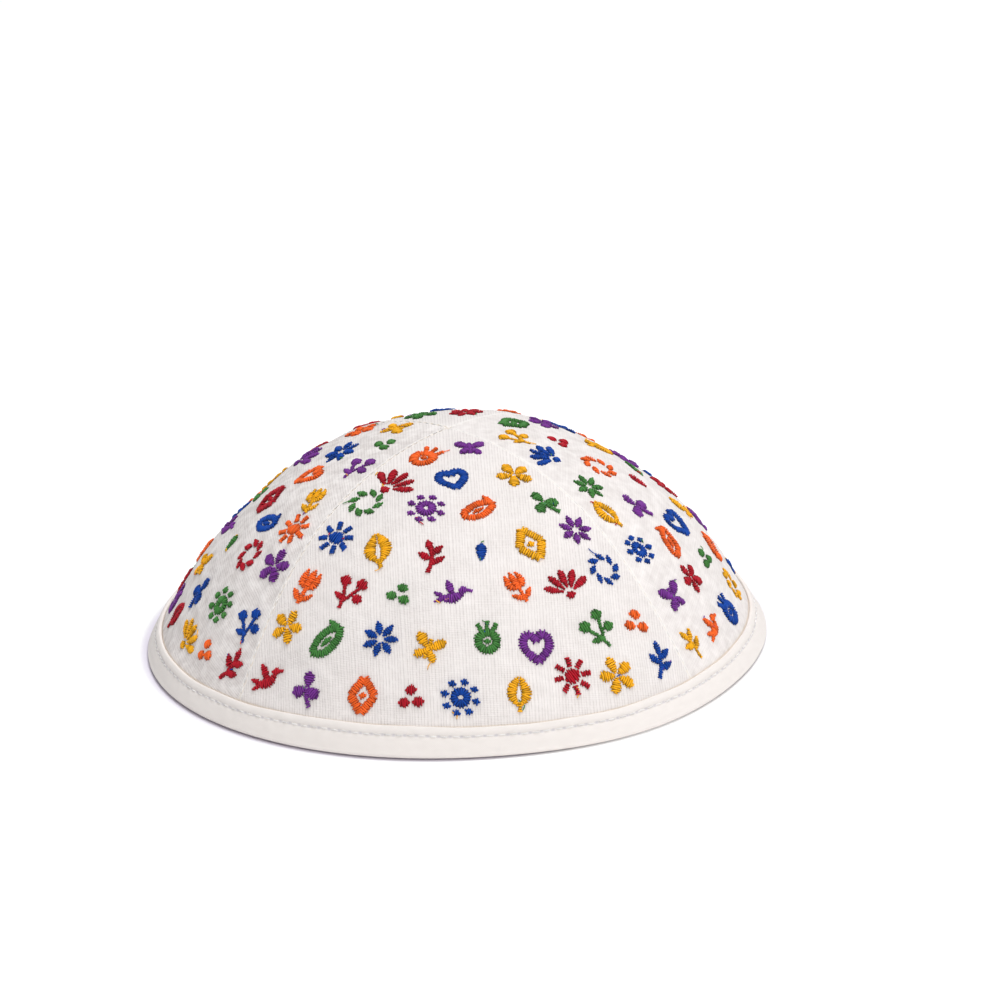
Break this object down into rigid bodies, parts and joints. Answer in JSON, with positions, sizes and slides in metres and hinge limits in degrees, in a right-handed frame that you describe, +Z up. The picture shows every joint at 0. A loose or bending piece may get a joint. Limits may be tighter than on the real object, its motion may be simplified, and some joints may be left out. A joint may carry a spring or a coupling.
{
  "type": "embroidered kippah",
  "caption": "Round domed skullcap of sewn ribbed cotton panels with colourful satin-stitch motifs and a topstitched fabric binding round its rim.",
  "frame": {"origin": "centre of the rim on the surface that the cap rests on", "axes": "+Z up through the crown's top, -Y towards the front panel, +X towards the right panel"},
  "size_m": [0.175, 0.175, 0.0594],
  "materials": {
    "panel_cloth": "off-white slubby ribbed cotton, matte, with satin-stitch embroidery in orange, gold, green, blue, crimson and purple",
    "binding_cloth": "cream plain-weave cotton strip, matte, topstitched near its upper edge"
  },
  "bodies": {
    "root": {"panel_front": "panel_cloth", "panel_right": "panel_cloth", "panel_back": "panel_cloth", "panel_left": "panel_cloth", "rim_binding": "binding_cloth"}
  },
  "joints": []
}
